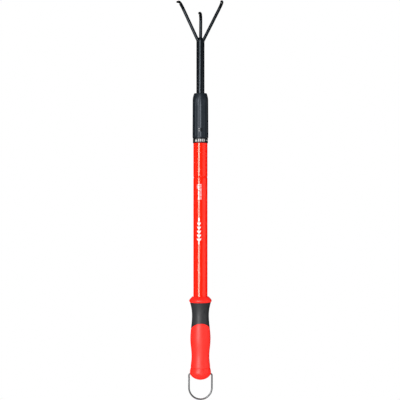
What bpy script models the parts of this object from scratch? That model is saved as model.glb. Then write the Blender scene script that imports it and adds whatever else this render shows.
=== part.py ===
"""Telescopic hand cultivator: three claws on a tube that slides in a gripped handle tube.

The tool stands upright, head up, its tube along +Z and its claws pointing towards -Y. The origin
is on the tube's axis, at the widest part of the grip, where the palm closes round it.
"""

import math

import bmesh
import bpy
from mathutils import Matrix, Vector

MM = 0.001
GAP = 0.3

# Driving sizes, in millimetres. Heights are measured up the axis from the origin.
TUBE_R = 11.3
TUBE_WALL = 1.4
TUBE_BOTTOM = -51.0
TUBE_TOP = 320.0
CRIMP_HEIGHT = 257.9
CRIMP_DEPTH = 0.7
CRIMP_HALF = 1.6

SLIDER_R = 6.5
SLIDER_WALL = 0.8
SLIDER_BOTTOM = -23.8
MOUTH = 476.4
TRAVEL = 272.0
TAIL_PIN_HEIGHT = -12.0

ROD_R = 2.5
ROD_DEPTH = 40.0
ROD_MOUTH_BEND = 10.0
ROD_CLAW_BEND = 12.0
CLAW_REACH = 43.0
CLAW_DROOPS = (2.5, 8.5)
CLAW_TIP_R = 1.1
HEAD_TURN = -4.5
# Each rod: its place round the bundle and its claw's yaw in degrees, the height where it leans
# out of the bundle, then where its claw turns. Welding leaves the three a little uneven.
RODS = {
    "tine_left": {"round": 210.0, "yaw": -3.0, "lean_height": 473.7, "claw": (-31.4, 536.3)},
    "tine_centre": {"round": 90.0, "yaw": 0.4, "lean_height": 474.0, "claw": (0.4, 518.8)},
    "tine_right": {"round": 330.0, "yaw": 2.2, "lean_height": 472.6, "claw": (34.8, 536.0)},
}

BAND_BOTTOM = 312.5
BAND_TOP = 320.3
BAND_R = 12.0

NUT_BOTTOM = 320.7
NUT_TOP = 392.2
NUT_R = 12.45
NUT_FOOT_R = 12.65
NUT_TOP_R = 9.95
NUT_SHOULDER = 380.0
NUT_BORE_R = 10.9
NUT_FLUTES = 14
NUT_FLUTE_DEPTH = 0.45
NUT_FLUTE_R = 4.2
NUT_RIB_AT = 7.9

COLLET_BOTTOM = SLIDER_BOTTOM + TRAVEL
FINGER_BOTTOM = 351.0
FINGER_TOP = 368.6
FINGER_SLOT = 1.4
THREAD_BOTTOM = 326.0
THREAD_LEAD = 3.0
THREAD_TURNS = 4

FLANGE_HEIGHT = 60.6
FLANGE_TOP = 67.4
FLANGE_BOTTOM = 58.0
BELLY_R = 16.15
NECK_HEIGHT = 36.8
NECK_R = 13.45
NECK_TOP_R = 16.8
WAIST_HEIGHT = -28.8
WAIST_R = 14.2
PALM_BOTTOM = -46.8
PALM_BOTTOM_R = 15.55
END_R = 16.9
END_WIDEST = -54.0
END_BOTTOM = -66.0
SKIN = 0.8
ARCH_HEIGHT = 24.7
ARCH_RISE = 10.3
ARCH_HALF_WIDTH = 15.3
ARCH_TURN = 4.5

PIN_HEIGHT = 43.2
PIN_ROUND = 28.0
PIN_R = 0.9

LOOP_PIVOT = -56.4
LOOP_BOTTOM = -97.1
LOOP_HALF_WIDTH = 18.3
LOOP_WIRE_R = 1.3
LOOP_ELBOW = 2.5
LOOP_END = 9.0

TURN_STEPS = 36
SMALL_TURN_STEPS = 24


def empty(name, height=0.0, parent=None, turn=0.0):
    """A joint's frame: a point on the axis, perhaps turned about it."""
    frame = bpy.data.objects.new(name, None)
    frame.empty_display_size = 0.02
    frame.location = (0, 0, height * MM)
    frame.rotation_euler = (0, 0, math.radians(turn))
    frame.parent = parent
    PARTS.objects.link(frame)
    return frame


def material(name, colour, roughness, metallic=0.0):
    surface = bpy.data.materials.new(name)
    surface.use_nodes = True
    shader = surface.node_tree.nodes["Principled BSDF"]
    shader.inputs["Base Color"].default_value = (*colour, 1)
    shader.inputs["Roughness"].default_value = roughness
    shader.inputs["Metallic"].default_value = metallic
    return surface


def add(name, data, surface=None, parent=None, location=(0, 0, 0), collection=None):
    """A new object at a place given in millimetres."""
    thing = bpy.data.objects.new(name, data)
    thing.location = Vector(location) * MM
    thing.parent = parent
    if surface:
        data.materials.append(surface)
    (collection or PARTS).objects.link(thing)
    return thing


def add_cutter(name, form, parent=None, matrix=None):
    """A helper body, from a bmesh in millimetres, that is cut from a part."""
    mesh = bpy.data.meshes.new(name)
    bmesh.ops.transform(form, matrix=Matrix.Scale(MM, 4) @ (matrix or Matrix()), verts=form.verts)
    form.to_mesh(mesh)
    form.free()
    thing = add(name, mesh, parent=parent, collection=CUTTERS)
    thing.hide_render = True
    thing.display_type = "WIRE"
    return thing


def cylinder(radius, length, sides=SMALL_TURN_STEPS):
    """A cylinder on Z that starts at the origin."""
    form = bmesh.new()
    bmesh.ops.create_cone(
        form, segments=sides, radius1=radius, radius2=radius, depth=length, cap_ends=True
    )
    bmesh.ops.translate(form, verts=form.verts, vec=(0, 0, length / 2))
    return form


def combine(thing, cutter, operation="DIFFERENCE"):
    change = thing.modifiers.new(cutter.name, "BOOLEAN")
    change.operation = operation
    change.solver = "EXACT"
    change.object = cutter


def settle(thing, sharp=35.0):
    """Applies the modifiers and shades the round faces smooth."""
    bpy.context.view_layer.update()
    graph = bpy.context.evaluated_depsgraph_get()
    mesh = bpy.data.meshes.new_from_object(thing.evaluated_get(graph))
    thing.modifiers.clear()
    thing.data = mesh
    mesh.shade_smooth()
    mesh.set_sharp_from_angle(angle=math.radians(sharp))
    return thing


def turned(name, outline, surface, parent, height, steps=TURN_STEPS):
    """A turned part. Its outline is (radius, height) points, down the outer side of the section."""
    mesh = bpy.data.meshes.new(name)
    points = [(radius * MM, 0, rise * MM) for radius, rise in outline]
    solid = outline[0][0] == 0 and outline[-1][0] == 0
    edges = [(i, i + 1) for i in range(len(points) - 1)]
    if not solid:
        edges.append((len(points) - 1, 0))
    mesh.from_pydata(points, edges, [])
    thing = add(name, mesh, surface, parent, (0, 0, height))
    lathe = thing.modifiers.new("lathe", "SCREW")
    lathe.axis = "Z"
    lathe.steps = steps
    lathe.render_steps = steps
    lathe.use_merge_vertices = True
    lathe.merge_threshold = 0.00001
    return thing


def rounded_path(corners, radii, step=15.0):
    """Points along a bent rod: straight runs between the corners, with an arc at each bend."""
    path = [Vector(corners[0])]
    for before, corner, after, radius in zip(corners, corners[1:], corners[2:], radii):
        way_in = (Vector(corner) - Vector(before)).normalized()
        way_out = (Vector(after) - Vector(corner)).normalized()
        angle = way_in.angle(way_out)
        start = Vector(corner) - way_in * radius * math.tan(angle / 2)
        inward = (way_out - way_in * way_in.dot(way_out)).normalized()
        count = max(2, math.ceil(math.degrees(angle) / step))
        for i in range(count + 1):
            turn = angle * i / count
            along = way_in * math.sin(turn)
            path.append(start + (along + inward * (1 - math.cos(turn))) * radius)
    path.append(Vector(corners[-1]))
    return path


def rod(name, path, radius, surface, parent, location, taper=None):
    """A round rod along a path. taper maps a point's distance from the far end to its radius."""
    curve = bpy.data.curves.new(name, "CURVE")
    curve.dimensions = "3D"
    curve.bevel_depth = radius * MM
    curve.bevel_resolution = 2
    curve.use_fill_caps = True
    spline = curve.splines.new("POLY")
    spline.points.add(len(path) - 1)
    left = sum((b - a).length for a, b in zip(path, path[1:]))
    for i, (point, place) in enumerate(zip(spline.points, path)):
        point.co = (*(place * MM), 1)
        if i:
            left -= (place - path[i - 1]).length
        point.radius = taper(left) / radius if taper else 1.0
    return add(name, curve, surface, parent, location)


def cosine(height, low, low_r, high, high_r):
    """A radius that eases from one height's value to another's."""
    share = (height - low) / (high - low)
    return low_r + (high_r - low_r) * (1 - math.cos(math.pi * share)) / 2


def grip_radius(height):
    """The radius of the moulded grip: neck, belly and waist."""
    if height > NECK_HEIGHT:
        share = (height - NECK_HEIGHT) / (FLANGE_BOTTOM - NECK_HEIGHT)
        return NECK_R + (NECK_TOP_R - NECK_R) * share**2
    if height > 0:
        return cosine(height, 0, BELLY_R, NECK_HEIGHT, NECK_R)
    if height > WAIST_HEIGHT:
        return cosine(height, WAIST_HEIGHT, WAIST_R, 0, BELLY_R)
    return cosine(height, PALM_BOTTOM, PALM_BOTTOM_R, WAIST_HEIGHT, WAIST_R)


def spread(first, last, count):
    return [first + (last - first) * i / (count - 1) for i in range(count)]


def along_radius(length_from, round_angle, height):
    """A matrix that lays a Z cylinder along a radius of the tool; 0 degrees faces -Y."""
    turn = Matrix.Rotation(math.radians(round_angle), 4, "Z")
    lay = Matrix.Rotation(math.radians(90), 4, "X")
    return Matrix.Translation((0, 0, height)) @ turn @ lay @ Matrix.Translation((0, 0, length_from))


def make_outer_tube():
    """The handle's tube, with the rolled groove that holds the collet and the pin's hole."""
    inner = TUBE_R - TUBE_WALL
    groove = [
        (CRIMP_DEPTH * (1 + math.cos(math.pi * share)) / 2, CRIMP_HEIGHT + CRIMP_HALF * share)
        for share in (1, 0.5, 0, -0.5, -1)
    ]
    outline = [(TUBE_R, TUBE_TOP)]
    outline += [(TUBE_R - depth, height) for depth, height in groove]
    outline += [(TUBE_R, TUBE_BOTTOM), (inner, TUBE_BOTTOM)]
    outline += [(inner - depth, height) for depth, height in reversed(groove)]
    outline += [(inner, TUBE_TOP)]
    tube = turned("outer_tube", outline, RED_PAINT, HANDLE, 0)
    combine(tube, PIN_HOLE)
    return settle(tube)


def make_marking_band():
    outline = [
        (BAND_R - 0.15, BAND_TOP),
        (BAND_R, BAND_TOP - 0.3),
        (BAND_R, BAND_BOTTOM + 0.3),
        (BAND_R - 0.15, BAND_BOTTOM),
        (TUBE_R + 0.25, BAND_BOTTOM),
        (TUBE_R + 0.25, BAND_TOP),
    ]
    return settle(turned("marking_band", outline, BLACK_NYLON, HANDLE, 0))


def thread_ridge(name, root, crest, bottom, turns):
    """A thread's ridge wound up the axis from its root radius to its crest, with closed ends."""
    mesh = bpy.data.meshes.new(name)
    points = [(crest, 0.25), (crest, -0.25), (root, -0.85), (root, 0.85)]
    mesh.from_pydata([(r * MM, 0, z * MM) for r, z in points], [(0, 1), (1, 2), (2, 3), (3, 0)], [])
    ridge = add(name, mesh, location=(0, 0, bottom), collection=CUTTERS)
    ridge.hide_render = True
    ridge.display_type = "WIRE"
    wind = ridge.modifiers.new("wind", "SCREW")
    wind.screw_offset = THREAD_LEAD * MM
    wind.iterations = turns
    wind.steps = SMALL_TURN_STEPS
    wind.render_steps = SMALL_TURN_STEPS
    settle(ridge)
    form = bmesh.new()
    form.from_mesh(ridge.data)
    bmesh.ops.holes_fill(form, edges=[edge for edge in form.edges if edge.is_boundary])
    bmesh.ops.recalc_face_normals(form, faces=form.faces)
    form.to_mesh(ridge.data)
    form.free()
    return ridge


def make_lock_collet():
    """The plastic insert in the tube's end: spigot, seat on the tube, thread and split fingers."""
    bore = SLIDER_R + GAP + 0.05
    spigot = TUBE_R - TUBE_WALL - GAP
    seat = TUBE_TOP + GAP
    outline = [
        (7.8, FINGER_TOP),
        (8.1, FINGER_TOP - 0.5),
        (9.7, FINGER_BOTTOM),
        (9.9, FINGER_BOTTOM - 1),
        (9.9, seat + 3),
        (10.6, seat + 2.4),
        (10.6, seat),
        (spigot, seat),
        (spigot, CRIMP_HEIGHT + CRIMP_HALF),
        (spigot - CRIMP_DEPTH, CRIMP_HEIGHT + CRIMP_HALF / 2),
        (spigot - CRIMP_DEPTH, CRIMP_HEIGHT - CRIMP_HALF / 2),
        (spigot, CRIMP_HEIGHT - CRIMP_HALF),
        (spigot, COLLET_BOTTOM + 0.6),
        (spigot - 0.6, COLLET_BOTTOM),
        (bore + 0.6, COLLET_BOTTOM),
        (bore, COLLET_BOTTOM + 0.6),
        (bore, FINGER_TOP),
    ]
    collet = turned("lock_collet", outline, BLACK_NYLON, HANDLE, 0)
    combine(collet, thread_ridge("collet_thread", 9.7, 10.5, THREAD_BOTTOM, THREAD_TURNS), "UNION")
    for i in range(3):
        form = bmesh.new()
        bmesh.ops.create_cube(form, size=1)
        bmesh.ops.scale(form, verts=form.verts, vec=(26, FINGER_SLOT, 24))
        place = Matrix.Translation((0, 0, FINGER_BOTTOM + 11)) @ Matrix.Rotation(math.radians(60 * i), 4, "Z")
        combine(collet, add_cutter(f"finger_slot_{i + 1}", form, HANDLE, place))
    return settle(collet)


def make_grip_core():
    """The grip's hard moulding: flange, sleeve under the soft skins, and the round end."""
    bore = TUBE_R + 0.25
    rim, rim_r = 14.35, 3.6
    outline = [(0, TUBE_BOTTOM - GAP), (bore, TUBE_BOTTOM - GAP), (bore, FLANGE_TOP)]
    outline += [(rim - 1.6, FLANGE_TOP)]
    for angle in spread(45, -46, 6):
        turn = math.radians(angle)
        outline.append((rim + rim_r * math.cos(turn), FLANGE_HEIGHT + rim_r * math.sin(turn)))
    skin_top = FLANGE_BOTTOM - GAP
    under = SKIN + GAP
    heights = (FLANGE_BOTTOM, 48, NECK_HEIGHT, 24, 12, 0, -10, -20, WAIST_HEIGHT, -38, PALM_BOTTOM - GAP)
    for height in heights:
        outline.append((grip_radius(max(min(height, skin_top), PALM_BOTTOM)) - under, height))
    outline += [(PALM_BOTTOM_R + 0.5, PALM_BOTTOM - GAP), (PALM_BOTTOM_R + 1.1, PALM_BOTTOM - 3.5)]
    for share in (0, 0.3, 0.55, 0.75, 0.88, 0.96, 1):
        radius = END_R * (1 - share**1.9) ** (1 / 1.9)
        outline.append((radius, END_WIDEST + (END_BOTTOM - END_WIDEST) * share))
    core = turned("grip_core", outline, RED_PLASTIC, HANDLE, 0)
    combine(core, PIN_HOLE)
    for side, quarter in (("left", -90), ("right", 90)):
        form = cylinder(LOOP_WIRE_R + GAP + 0.1, 12, 16)
        place = along_radius(LOOP_END - 1, quarter, LOOP_PIVOT)
        combine(core, add_cutter(f"loop_hole_{side}", form, HANDLE, place))
    return settle(core)


def arch(above):
    """A block above or below the arched line where the neck and palm skins meet."""
    outside = 1.2 * ARCH_HALF_WIDTH
    curve = bpy.data.curves.new("arch", "CURVE")
    curve.dimensions = "2D"
    curve.fill_mode = "BOTH"
    curve.extrude = outside * MM
    top = ARCH_HEIGHT - (GAP if above else 0)
    line = [(-outside, top - ARCH_RISE)]
    for angle in spread(-90, 90, 17):
        turn = math.radians(angle)
        line.append((ARCH_HALF_WIDTH * math.sin(turn), top - ARCH_RISE * (1 - math.cos(turn))))
    line.append((outside, top - ARCH_RISE))
    edge = FLANGE_HEIGHT if above else PALM_BOTTOM - 10
    line += [(outside, edge), (-outside, edge)]
    spline = curve.splines.new("POLY")
    spline.points.add(len(line) - 1)
    for point, (x, z) in zip(spline.points, line):
        point.co = (x * MM, z * MM, 0, 1)
    spline.use_cyclic_u = True
    outline = add("arch_outline", curve, collection=CUTTERS)
    outline.rotation_euler = (math.radians(90), 0, math.radians(ARCH_TURN))
    bpy.context.view_layer.update()
    graph = bpy.context.evaluated_depsgraph_get()
    mesh = bpy.data.meshes.new_from_object(outline.evaluated_get(graph))
    form = bmesh.new()
    form.from_mesh(mesh)
    bmesh.ops.remove_doubles(form, verts=form.verts, dist=0.00001)
    bmesh.ops.recalc_face_normals(form, faces=form.faces)
    form.to_mesh(mesh)
    form.free()
    block = add("arch_above" if above else "arch_below", mesh, collection=CUTTERS)
    block.matrix_world = outline.matrix_world
    block.hide_render = True
    block.display_type = "WIRE"
    bpy.data.objects.remove(outline)
    return block


def skin(name, top, bottom, count, surface, keep_above):
    """A soft skin over the grip's core, between two heights and cut along the arch."""
    heights = spread(top, bottom, count)
    outline = [(grip_radius(height), height) for height in heights]
    outline += [(grip_radius(height) - SKIN, height) for height in reversed(heights)]
    cover = turned(name, outline, surface, HANDLE, 0)
    combine(cover, arch(above=not keep_above))
    return cover


def make_grip_skins():
    neck = skin("neck_skin", FLANGE_BOTTOM - GAP, 4, 10, BLACK_RUBBER, keep_above=True)
    combine(neck, PIN_HOLE)
    palm = skin("palm_skin", 32, PALM_BOTTOM, 12, RED_RUBBER, keep_above=False)
    return settle(neck), settle(palm)


def make_grip_pin():
    """The dowel that keeps the grip from turning on the tube."""
    inner_end = TUBE_R - TUBE_WALL + 0.15
    length = grip_radius(PIN_HEIGHT) - 0.25 - inner_end
    form = cylinder(PIN_R, length, 12)
    mesh = bpy.data.meshes.new("grip_pin")
    bmesh.ops.transform(form, matrix=Matrix.Scale(MM, 4), verts=form.verts)
    form.to_mesh(mesh)
    form.free()
    pin = add("grip_pin", mesh, STEEL, HANDLE)
    place = along_radius(inner_end, PIN_ROUND, PIN_HEIGHT)
    pin.matrix_local = Matrix.Translation(place.translation * MM) @ place.to_3x3().to_4x4()
    chamfer = pin.modifiers.new("chamfer", "BEVEL")
    chamfer.width = 0.2 * MM
    chamfer.segments = 1
    return settle(pin)


def make_tube_end_plug():
    """The barbed plug that closes the tube's lower end, inside the grip."""
    radius = TUBE_R - TUBE_WALL - GAP
    outline = [(0, 7.4), (radius - 0.8, 7.4)]
    for rise in (6.6, 4.4, 2.2):
        outline += [(radius, rise), (radius - 0.5, rise - 1.6)]
    outline += [(radius, 0.1), (0, 0.1)]
    return settle(turned("tube_end_plug", outline, BLACK_NYLON, HANDLE, TUBE_BOTTOM, SMALL_TURN_STEPS))


def make_closing_buffer():
    """The rubber ring that the sliding tube lands on when the tool is closed."""
    outline = [(7.6, 3.3), (8.6, 2.4), (8.6, 0.9), (7.6, 0), (3.2, 0), (3.2, 3.3)]
    height = TUBE_BOTTOM + 7.4 + GAP
    return settle(turned("closing_buffer", outline, BLACK_RUBBER, HANDLE, height, SMALL_TURN_STEPS))


def make_hanging_loop():
    """The bent wire loop. Its two ends turn in the grip's side holes."""
    drop = LOOP_BOTTOM - LOOP_PIVOT
    width = LOOP_HALF_WIDTH
    corners = [(LOOP_END, 0, 0), (width, 0, 0), (width, 0, drop)]
    corners += [(-x, y, z) for x, y, z in reversed(corners)]
    path = rounded_path(corners, (LOOP_ELBOW, width, width, LOOP_ELBOW), step=18)
    return rod("hanging_loop", path, LOOP_WIRE_R, STEEL, LOOP_PIVOT_FRAME, (0, 0, 0))


def make_guide_bush():
    """The split nylon bush that centres the sliding tube in the handle tube."""
    outer = TUBE_R - TUBE_WALL - GAP
    length = 12.0
    outline = [
        (outer - 0.8, length),
        (outer, length - 1),
        (outer, 1),
        (outer - 0.8, 0),
        (SLIDER_R - 0.55, 0),
        (SLIDER_R - 0.55, length),
    ]
    height = SLIDER_BOTTOM - GAP - length
    bush = turned("guide_bush", outline, WHITE_NYLON, SLIDE, height, SMALL_TURN_STEPS)
    form = bmesh.new()
    bmesh.ops.create_cube(form, size=1)
    bmesh.ops.scale(form, verts=form.verts, vec=(1.2, 12, 16))
    slot = add_cutter("bush_split", form, SLIDE, Matrix.Translation((0, 9, height + length / 2)))
    combine(bush, slot)
    return settle(bush)


def make_tail():
    """The plug in the sliding tube's lower end, and the pin that holds it there."""
    stem = SLIDER_R - SLIDER_WALL - GAP
    outline = [
        (0, 34),
        (stem - 0.8, 34),
        (stem, 33),
        (stem, 15.6),
        (SLIDER_R - 0.85, 15.3),
        (SLIDER_R - 0.85, 3),
        (8.8, 3),
        (9.3, 2.5),
        (9.3, 0.5),
        (8.8, 0),
        (0, 0),
    ]
    height = TUBE_BOTTOM + 7.4 + 3.3 + 2 * GAP + 0.3
    plug = turned("tail_plug", outline, BLACK_NYLON, HEAD, height, SMALL_TURN_STEPS)
    combine(plug, TAIL_PIN_HOLE)
    mesh = bpy.data.meshes.new("tail_pin")
    form = cylinder(1.25, 2 * (SLIDER_R - 0.3), 12)
    bmesh.ops.transform(form, matrix=Matrix.Scale(MM, 4), verts=form.verts)
    form.to_mesh(mesh)
    form.free()
    pin = add("tail_pin", mesh, STEEL, HEAD, (0.3 - SLIDER_R, 0, TAIL_PIN_HEIGHT))
    pin.rotation_euler = (0, math.radians(90), 0)
    return settle(plug), settle(pin)


def rod_foot(name):
    """Where a rod stands in the bundle inside the tube's mouth."""
    bundle = (2 * ROD_R + 0.2) / math.sqrt(3)
    turn = math.radians(RODS[name]["round"])
    return Vector((bundle * math.cos(turn), bundle * math.sin(turn), 0))


def splay(name):
    """The corner where a rod leaves the bundle, and the corner where its claw turns forward."""
    corner = rod_foot(name) + Vector((0, 0, RODS[name]["lean_height"] - MOUTH))
    side, height = RODS[name]["claw"]
    return corner, Vector((side, corner.y, height - MOUTH))


def make_inner_tube():
    """The sliding tube. Its mouth is notched where the two outer rods lean out of it."""
    wall = SLIDER_R - SLIDER_WALL
    outline = [(SLIDER_R, MOUTH), (SLIDER_R, SLIDER_BOTTOM), (wall, SLIDER_BOTTOM), (wall, MOUTH)]
    tube = turned("inner_tube", outline, BLACK_PAINT, HEAD, 0)
    combine(tube, TAIL_PIN_HOLE)
    for name in ("tine_left", "tine_right"):
        corner, claw = splay(name)
        lean = Vector((0, 0, 1)).rotation_difference(claw - corner).to_matrix().to_4x4()
        lift = Matrix.Translation(corner + Vector((0, 0, MOUTH)))
        notch = add_cutter(f"notch_{name}", cylinder(ROD_R + GAP, 12, 20), HEAD, lift @ lean)
        combine(tube, notch)
    return settle(tube)


def claw_taper(left):
    """The rod's radius near its tip: a long taper to a blunt point."""
    share = min(1.0, left / 26.0)
    return CLAW_TIP_R + (ROD_R - CLAW_TIP_R) * math.sin(share * math.pi / 2)


def make_tine(name):
    """One rod of the head: up out of the tube, leaning away, then hooked forward as a claw."""
    corner, claw = splay(name)
    yaw = math.radians(RODS[name]["yaw"])
    corners = [rod_foot(name) - Vector((0, 0, ROD_DEPTH)), corner, claw]
    for droop in CLAW_DROOPS:
        fall = math.radians(droop)
        ahead = math.cos(fall)
        way = Vector((math.sin(yaw) * ahead, -math.cos(yaw) * ahead, -math.sin(fall)))
        corners.append(corners[-1] + way * CLAW_REACH / len(CLAW_DROOPS))
    path = rounded_path(corners, (ROD_MOUTH_BEND, ROD_CLAW_BEND, 5 * ROD_CLAW_BEND))
    tip = path.pop()
    path += [path[-1].lerp(tip, share) for share in (0.3, 0.6, 0.85, 1)]
    return rod(name, path, ROD_R, BLACK_PAINT, HEAD, (0, 0, MOUTH), claw_taper)


def make_compression_ring():
    """The cone ring that the nut presses down over the collet's fingers."""
    outline = [
        (9.6, 369.2),
        (10.1, 368.7),
        (10.6, 366),
        (10.6, 355.5),
        (10.2, 355),
        (9.7, 355),
        (8.4, 369.2),
    ]
    return settle(turned("compression_ring", outline, WHITE_NYLON, NUT_RISE, 0))


def make_lock_nut():
    """The fluted nut: bore for the thread, seat over the ring, groove for the wiper."""
    outline = []
    for share in (1, 0.88, 0.7, 0.5, 0.28, 0):
        radius = NUT_R - (NUT_R - NUT_TOP_R) * share**2
        outline.append((radius, NUT_SHOULDER + (NUT_TOP - NUT_SHOULDER) * share))
    outline += [
        (NUT_FOOT_R, NUT_BOTTOM + 12),
        (NUT_FOOT_R, NUT_BOTTOM + 0.8),
        (NUT_FOOT_R - 0.6, NUT_BOTTOM),
        (NUT_BORE_R, NUT_BOTTOM),
        (NUT_BORE_R, 369.5),
        (7.4, 369.5),
        (7.4, 382.5),
        (8.9, 382.5),
        (8.9, 386.5),
        (7.15, 386.5),
        (7.15, NUT_TOP),
    ]
    nut = turned("lock_nut", outline, BLACK_NYLON, NUT_TURN, 0)
    start = THREAD_BOTTOM + 1.5 * THREAD_LEAD
    ridge = thread_ridge("nut_thread", NUT_BORE_R + 0.3, 10.2, start, THREAD_TURNS - 2)
    combine(nut, ridge, "UNION")
    for i in range(NUT_FLUTES):
        turn = math.radians(NUT_RIB_AT + (i + 0.5) * 360 / NUT_FLUTES)
        away = NUT_R + NUT_FLUTE_R - NUT_FLUTE_DEPTH
        place = Matrix.Rotation(turn, 4, "Z") @ Matrix.Translation((0, -away, NUT_BOTTOM + 2))
        flute = add_cutter(f"flute_{i + 1}", cylinder(NUT_FLUTE_R, 80, 24), NUT_TURN, place)
        combine(nut, flute)
    return settle(nut, sharp=50)


def make_wiper_ring():
    """The lip seal in the nut's mouth, which keeps soil off the sliding tube."""
    outline = [(8.0, 386.2), (8.6, 385.6), (8.6, 383.4), (8.0, 382.8), (6.8, 382.8), (6.8, 386.2)]
    return settle(turned("wiper_ring", outline, BLACK_RUBBER, NUT_TURN, 0))


for leftover in list(bpy.data.objects):
    bpy.data.objects.remove(leftover, do_unlink=True)

PARTS = bpy.data.collections.new("telescopic_hand_cultivator")
CUTTERS = bpy.data.collections.new("cutters")
CUTTERS.hide_render = True
for group in (PARTS, CUTTERS):
    bpy.context.scene.collection.children.link(group)

RED_PAINT = material("red_paint", (0.78, 0.03, 0.012), 0.18, 0.1)
BLACK_PAINT = material("black_paint", (0.012, 0.014, 0.017), 0.3)
BLACK_NYLON = material("black_nylon", (0.018, 0.02, 0.024), 0.45)
BLACK_RUBBER = material("black_rubber", (0.022, 0.023, 0.026), 0.6)
RED_PLASTIC = material("red_plastic", (0.72, 0.025, 0.012), 0.3)
RED_RUBBER = material("red_rubber", (0.74, 0.03, 0.02), 0.5)
WHITE_NYLON = material("white_nylon", (0.75, 0.73, 0.68), 0.5)
STEEL = material("steel", (0.55, 0.56, 0.58), 0.3, 1.0)

HANDLE = empty("handle_frame")
LOOP_PIVOT_FRAME = empty("loop_pivot", LOOP_PIVOT, HANDLE)
SLIDE = empty("telescope_slide", parent=HANDLE)
HEAD = empty("head_swivel", parent=SLIDE, turn=HEAD_TURN)
NUT_RISE = empty("nut_rise", parent=HANDLE)
NUT_TURN = empty("nut_turn", parent=NUT_RISE)

PIN_HOLE = add_cutter(
    "pin_hole", cylinder(PIN_R + GAP, 8, 12), HANDLE, along_radius(8, PIN_ROUND, PIN_HEIGHT)
)
TAIL_PIN_HOLE = add_cutter(
    "tail_pin_hole", cylinder(1.25 + GAP, 16, 12), HEAD, along_radius(-8, 90, TAIL_PIN_HEIGHT)
)

make_outer_tube()
make_marking_band()
make_lock_collet()
make_grip_core()
make_grip_skins()
make_grip_pin()
make_tube_end_plug()
make_closing_buffer()
make_hanging_loop()
make_guide_bush()
make_tail()
make_inner_tube()
for rod_name in RODS:
    make_tine(rod_name)
make_compression_ring()
make_lock_nut()
make_wiper_ring()
bpy.context.view_layer.update()
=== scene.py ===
"""Looks of the telescopic hand cultivator: finer skins on its bodies, finishes, prints and studio."""

import math

import bmesh
import bpy
from mathutils import Matrix, Vector, noise


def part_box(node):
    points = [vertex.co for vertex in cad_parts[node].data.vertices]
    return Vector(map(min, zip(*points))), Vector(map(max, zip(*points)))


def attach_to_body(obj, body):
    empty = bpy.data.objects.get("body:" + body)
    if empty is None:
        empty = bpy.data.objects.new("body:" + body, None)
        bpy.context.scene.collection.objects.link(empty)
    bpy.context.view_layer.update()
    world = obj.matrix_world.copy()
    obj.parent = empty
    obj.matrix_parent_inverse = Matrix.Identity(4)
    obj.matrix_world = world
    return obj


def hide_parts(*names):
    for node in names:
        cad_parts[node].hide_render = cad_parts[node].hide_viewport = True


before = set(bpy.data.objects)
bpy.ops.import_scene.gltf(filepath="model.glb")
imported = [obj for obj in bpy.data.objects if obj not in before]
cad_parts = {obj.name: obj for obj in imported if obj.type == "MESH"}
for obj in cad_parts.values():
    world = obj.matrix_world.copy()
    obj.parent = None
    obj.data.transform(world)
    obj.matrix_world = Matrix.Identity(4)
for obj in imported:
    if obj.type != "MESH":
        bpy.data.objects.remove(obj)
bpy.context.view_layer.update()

MM = 0.001

# Sides of a round piece, steps round an outline's fillet, and millimetres between a print's bends.
FINE = 96
FILLET_STEPS = 4
PRINT_STEP = 0.6


# ---------------------------------------------------------------- sizes read from the frame

def radius_of(node):
    """A round node's outer radius, in millimetres."""
    low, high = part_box(node)
    return (high.x - low.x) / 2 / MM


def span_of(node):
    """A node's lowest and highest points up the tool's axis, in millimetres."""
    low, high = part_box(node)
    return low.z / MM, high.z / MM


TUBE_R = radius_of("outer_tube")
TUBE_BOTTOM, TUBE_TOP = span_of("outer_tube")
SLIDER_R = radius_of("inner_tube")
SLIDER_BOTTOM, MOUTH = span_of("inner_tube")
BAND_R = radius_of("marking_band")
BAND_BOTTOM, BAND_TOP = span_of("marking_band")
NUT_BOTTOM, NUT_TOP = span_of("lock_nut")
FLANGE_TOP = span_of("grip_core")[1]

# Sizes in millimetres that a node's box doesn't give. Heights are up the axis from the origin.
TUBE_WALL = 1.4
TUBE_BORE = TUBE_R - TUBE_WALL
CRIMP_HEIGHT = 257.9
CRIMP_DEPTH = 0.7
CRIMP_HALF = 1.7
SLIDER_WALL = 0.8
TAIL_PIN_HEIGHT = -12.0
LOOP_PIVOT = -56.4


# ---------------------------------------------------------------- meshes

def new_object(name, mesh, surface=None):
    thing = bpy.data.objects.new(name, mesh)
    bpy.context.scene.collection.objects.link(thing)
    if surface:
        mesh.materials.append(surface)
    return thing


def stacked(name, rings, surface, loop=False, sharp=38.0):
    """A mesh through rings of points in millimetres. A ring of one point closes an end."""
    points = []
    starts = []
    for ring in rings:
        starts.append(len(points))
        points += [Vector(point) * MM for point in ring]
    faces = []
    pairs = list(zip(range(len(rings)), range(1, len(rings))))
    if loop:
        pairs.append((len(rings) - 1, 0))
    for first, second in pairs:
        low, high = starts[first], starts[second]
        count = max(len(rings[first]), len(rings[second]))
        for i in range(count):
            after = (i + 1) % count
            if len(rings[first]) == 1:
                faces.append((low, high + i, high + after))
            elif len(rings[second]) == 1:
                faces.append((low + i, high, low + after))
            else:
                faces.append((low + i, high + i, high + after, low + after))
    mesh = bpy.data.meshes.new(name)
    mesh.from_pydata(points, [], faces)
    return finished(name, mesh, surface, sharp)


def finished(name, mesh, surface, sharp=38.0):
    """Turns a mesh's faces outwards, shades it and makes its object."""
    form = bmesh.new()
    form.from_mesh(mesh)
    bmesh.ops.recalc_face_normals(form, faces=form.faces)
    form.to_mesh(mesh)
    form.free()
    mesh.shade_smooth()
    mesh.set_sharp_from_angle(angle=math.radians(sharp))
    return new_object(name, mesh, surface)


def circle(radius, height, steps=FINE):
    """A level ring of points round the axis, or the one point on it."""
    if radius == 0:
        return [(0, 0, height)]
    turns = [2 * math.pi * i / steps for i in range(steps)]
    return [(radius * math.sin(turn), -radius * math.cos(turn), height) for turn in turns]


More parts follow.
